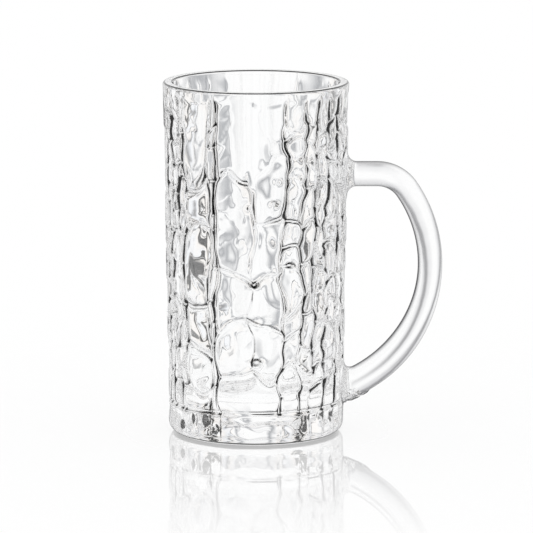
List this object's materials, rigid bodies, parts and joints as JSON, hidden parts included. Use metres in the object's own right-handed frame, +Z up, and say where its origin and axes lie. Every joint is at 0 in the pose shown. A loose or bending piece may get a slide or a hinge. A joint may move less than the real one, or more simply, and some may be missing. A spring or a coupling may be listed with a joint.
{
  "type": "beer mug",
  "caption": "Straight clear glass beer mug with a tree-bark relief on its wall, a thick plain foot, a rounded lip and a thick D-shaped glass handle.",
  "frame": {"origin": "centre of the ring that the mug stands on, in the plane of the table", "axes": "+Z up along the cup's axis, +X from the axis to the handle, -Y towards the viewer"},
  "size_m": [0.1248, 0.083, 0.158],
  "materials": {
    "cup_glass": "clear, fire-polished, with a bark relief outside and a smooth bore",
    "handle_glass": "clear, fire-polished"
  },
  "bodies": {
    "root": {"body": "cup_glass", "handle": "handle_glass"}
  },
  "joints": []
}
